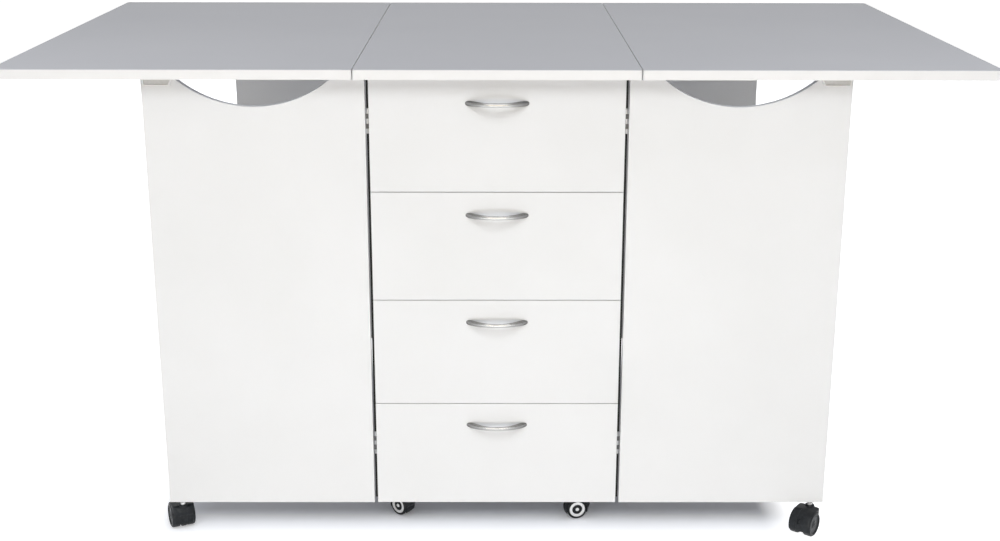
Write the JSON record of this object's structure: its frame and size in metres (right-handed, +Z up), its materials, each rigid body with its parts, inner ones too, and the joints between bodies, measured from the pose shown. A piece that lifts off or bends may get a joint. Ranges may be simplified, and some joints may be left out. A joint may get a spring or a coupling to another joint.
{
  "type": "folding sewing cutting table",
  "caption": "Chest of drawers with a grey worktop, drop leaves carried on swinging gates, and swivel casters under the chest and the gates.",
  "frame": {"origin": "on the floor, under the centre of the open table", "axes": "+X to the user's right, -Y out of the drawer side, +Z up"},
  "size_m": [1.768, 1.0397, 0.9],
  "materials": {
    "white_board": "satin melamine",
    "screw_steel": "zinc plate",
    "grey_laminate": "satin laminate",
    "white_edging": "satin",
    "runner_steel": "satin powder coat",
    "hinge_steel": "satin nickel plate",
    "bumper_rubber": "matt",
    "stop_plastic": "satin",
    "handle_nickel": "brushed nickel",
    "caster_black": "satin"
  },
  "bodies": {
    "chest": {"left_side_panel": "white_board", "right_side_panel": "white_board", "bottom_panel": "white_board", "partition_panel": "white_board", "top_rails": "white_board", "rear_shelves": "white_board", "shelf_pins": "screw_steel", "centre_top": "grey_laminate", "centre_top_edging": "white_edging", "drawer_runner_rails": "runner_steel", "chest_caster_plates": "screw_steel", "gate_hinge_frames": "hinge_steel", "leaf_hinge_frames": "hinge_steel", "hinge_pins": "hinge_steel", "gate_bumper_strips": "bumper_rubber", "assembly_screws": "screw_steel"},
    "left_leaf_body": {"left_leaf": "grey_laminate", "left_leaf_edging": "white_edging", "left_leaf_hinge_flaps": "hinge_steel", "left_gate_stops": "stop_plastic"},
    "right_leaf_body": {"right_leaf": "grey_laminate", "right_leaf_edging": "white_edging", "right_leaf_hinge_flaps": "hinge_steel", "right_gate_stops": "stop_plastic"},
    "front_left_gate_body": {"front_left_gate": "white_board", "front_left_gate_fittings": "hinge_steel"},
    "front_right_gate_body": {"front_right_gate": "white_board", "front_right_gate_fittings": "hinge_steel"},
    "rear_left_gate_body": {"rear_left_gate": "white_board", "rear_left_gate_fittings": "hinge_steel"},
    "rear_right_gate_body": {"rear_right_gate": "white_board", "rear_right_gate_fittings": "hinge_steel"},
    "drawer_1": {"drawer_1_face": "white_board", "drawer_1_box": "white_board", "drawer_1_handle": "handle_nickel"},
    "drawer_2": {"drawer_2_face": "white_board", "drawer_2_box": "white_board", "drawer_2_handle": "handle_nickel"},
    "drawer_3": {"drawer_3_face": "white_board", "drawer_3_box": "white_board", "drawer_3_handle": "handle_nickel"},
    "drawer_4": {"drawer_4_face": "white_board", "drawer_4_box": "white_board", "drawer_4_handle": "handle_nickel"},
    "front_left_gate_caster_swivel": {"front_left_gate_caster_hood": "caster_black"},
    "front_left_gate_caster_roll": {"front_left_gate_caster_wheels": "caster_black"},
    "front_right_gate_caster_swivel": {"front_right_gate_caster_hood": "caster_black"},
    "front_right_gate_caster_roll": {"front_right_gate_caster_wheels": "caster_black"},
    "rear_left_gate_caster_swivel": {"rear_left_gate_caster_hood": "caster_black"},
    "rear_left_gate_caster_roll": {"rear_left_gate_caster_wheels": "caster_black"},
    "rear_right_gate_caster_swivel": {"rear_right_gate_caster_hood": "caster_black"},
    "rear_right_gate_caster_roll": {"rear_right_gate_caster_wheels": "caster_black"},
    "front_left_chest_caster_swivel": {"front_left_chest_caster_hood": "caster_black"},
    "front_left_chest_caster_roll": {"front_left_chest_caster_wheels": "caster_black"},
    "front_right_chest_caster_swivel": {"front_right_chest_caster_hood": "caster_black"},
    "front_right_chest_caster_roll": {"front_right_chest_caster_wheels": "caster_black"},
    "rear_left_chest_caster_swivel": {"rear_left_chest_caster_hood": "caster_black"},
    "rear_left_chest_caster_roll": {"rear_left_chest_caster_wheels": "caster_black"},
    "rear_right_chest_caster_swivel": {"rear_right_chest_caster_hood": "caster_black"},
    "rear_right_chest_caster_roll": {"rear_right_chest_caster_wheels": "caster_black"}
  },
  "joints": [
    {"name": "left_leaf_lift", "type": "hinge", "parent": "chest", "child": "left_leaf_body", "pos_m": [-0.25325, 0, 0.882], "axis": [0, 1, 0], "range_deg": [0, 3]},
    {"name": "right_leaf_lift", "type": "hinge", "parent": "chest", "child": "right_leaf_body", "pos_m": [0.25325, 0, 0.882], "axis": [0, -1, 0], "range_deg": [0, 3]},
    {"name": "front_left_gate_swing", "type": "hinge", "parent": "chest", "child": "front_left_gate_body", "pos_m": [-0.23125, -0.45775, 0.5], "axis": [0, 0, -1], "range_deg": [0, 90]},
    {"name": "front_right_gate_swing", "type": "hinge", "parent": "chest", "child": "front_right_gate_body", "pos_m": [0.23125, -0.45775, 0.5], "axis": [0, 0, 1], "range_deg": [0, 90]},
    {"name": "rear_left_gate_swing", "type": "hinge", "parent": "chest", "child": "rear_left_gate_body", "pos_m": [-0.23125, 0.45775, 0.5], "axis": [0, 0, 1], "range_deg": [0, 90]},
    {"name": "rear_right_gate_swing", "type": "hinge", "parent": "chest", "child": "rear_right_gate_body", "pos_m": [0.23125, 0.45775, 0.5], "axis": [0, 0, -1], "range_deg": [0, 90]},
    {"name": "drawer_1_slide", "type": "slide", "parent": "chest", "child": "drawer_1", "axis": [0, -1, 0], "range_m": [0, 0.33]},
    {"name": "drawer_2_slide", "type": "slide", "parent": "chest", "child": "drawer_2", "axis": [0, -1, 0], "range_m": [0, 0.33]},
    {"name": "drawer_3_slide", "type": "slide", "parent": "chest", "child": "drawer_3", "axis": [0, -1, 0], "range_m": [0, 0.33]},
    {"name": "drawer_4_slide", "type": "slide", "parent": "chest", "child": "drawer_4", "axis": [0, -1, 0], "range_m": [0, 0.33]},
    {"name": "front_left_gate_caster_turn", "type": "hinge", "parent": "front_left_gate_body", "child": "front_left_gate_caster_swivel", "pos_m": [-0.605, -0.469, 0.058], "axis": [0, 0, 1], "continuous": true},
    {"name": "front_left_gate_caster_spin", "type": "hinge", "parent": "front_left_gate_caster_swivel", "child": "front_left_gate_caster_roll", "pos_m": [-0.61334, -0.45027, 0.024], "axis": [-0.9135, -0.4067, 0], "continuous": true},
    {"name": "front_right_gate_caster_turn", "type": "hinge", "parent": "front_right_gate_body", "child": "front_right_gate_caster_swivel", "pos_m": [0.605, -0.469, 0.058], "axis": [0, 0, 1], "continuous": true},
    {"name": "front_right_gate_caster_spin", "type": "hinge", "parent": "front_right_gate_caster_swivel", "child": "front_right_gate_caster_roll", "pos_m": [0.59266, -0.48537, 0.024], "axis": [0.7986, -0.6018, 0], "continuous": true},
    {"name": "rear_left_gate_caster_turn", "type": "hinge", "parent": "rear_left_gate_body", "child": "rear_left_gate_caster_swivel", "pos_m": [-0.605, 0.469, 0.058], "axis": [0, 0, 1], "continuous": true},
    {"name": "rear_left_gate_caster_spin", "type": "hinge", "parent": "rear_left_gate_caster_swivel", "child": "rear_left_gate_caster_roll", "pos_m": [-0.59354, 0.486, 0.024], "axis": [-0.829, 0.5592, 0], "continuous": true},
    {"name": "rear_right_gate_caster_turn", "type": "hinge", "parent": "rear_right_gate_body", "child": "rear_right_gate_caster_swivel", "pos_m": [0.605, 0.469, 0.058], "axis": [0, 0, 1], "continuous": true},
    {"name": "rear_right_gate_caster_spin", "type": "hinge", "parent": "rear_right_gate_caster_swivel", "child": "rear_right_gate_caster_roll", "pos_m": [0.61616, 0.45181, 0.024], "axis": [0.8387, 0.5446, 0], "continuous": true},
    {"name": "front_left_chest_caster_turn", "type": "hinge", "parent": "chest", "child": "front_left_chest_caster_swivel", "pos_m": [-0.173, -0.409, 0.055], "axis": [0, 0, 1], "continuous": true},
    {"name": "front_left_chest_caster_spin", "type": "hinge", "parent": "front_left_chest_caster_swivel", "child": "front_left_chest_caster_roll", "pos_m": [-0.18641, -0.39775, 0.02], "axis": [-0.6428, -0.766, 0], "continuous": true},
    {"name": "front_right_chest_caster_turn", "type": "hinge", "parent": "chest", "child": "front_right_chest_caster_swivel", "pos_m": [0.173, -0.409, 0.055], "axis": [0, 0, 1], "continuous": true},
    {"name": "front_right_chest_caster_spin", "type": "hinge", "parent": "front_right_chest_caster_swivel", "child": "front_right_chest_caster_roll", "pos_m": [0.15588, -0.41264, 0.02], "axis": [0.2079, -0.9781, 0], "continuous": true},
    {"name": "rear_left_chest_caster_turn", "type": "hinge", "parent": "chest", "child": "rear_left_chest_caster_swivel", "pos_m": [-0.173, 0.409, 0.055], "axis": [0, 0, 1], "continuous": true},
    {"name": "rear_left_chest_caster_spin", "type": "hinge", "parent": "rear_left_chest_caster_swivel", "child": "rear_left_chest_caster_roll", "pos_m": [-0.15959, 0.42025, 0.02], "axis": [-0.6428, 0.766, 0], "continuous": true},
    {"name": "rear_right_chest_caster_turn", "type": "hinge", "parent": "chest", "child": "rear_right_chest_caster_swivel", "pos_m": [0.173, 0.409, 0.055], "axis": [0, 0, 1], "continuous": true},
    {"name": "rear_right_chest_caster_spin", "type": "hinge", "parent": "rear_right_chest_caster_swivel", "child": "rear_right_chest_caster_roll", "pos_m": [0.19012, 0.40536, 0.02], "axis": [0.2079, 0.9781, 0], "continuous": true}
  ]
}
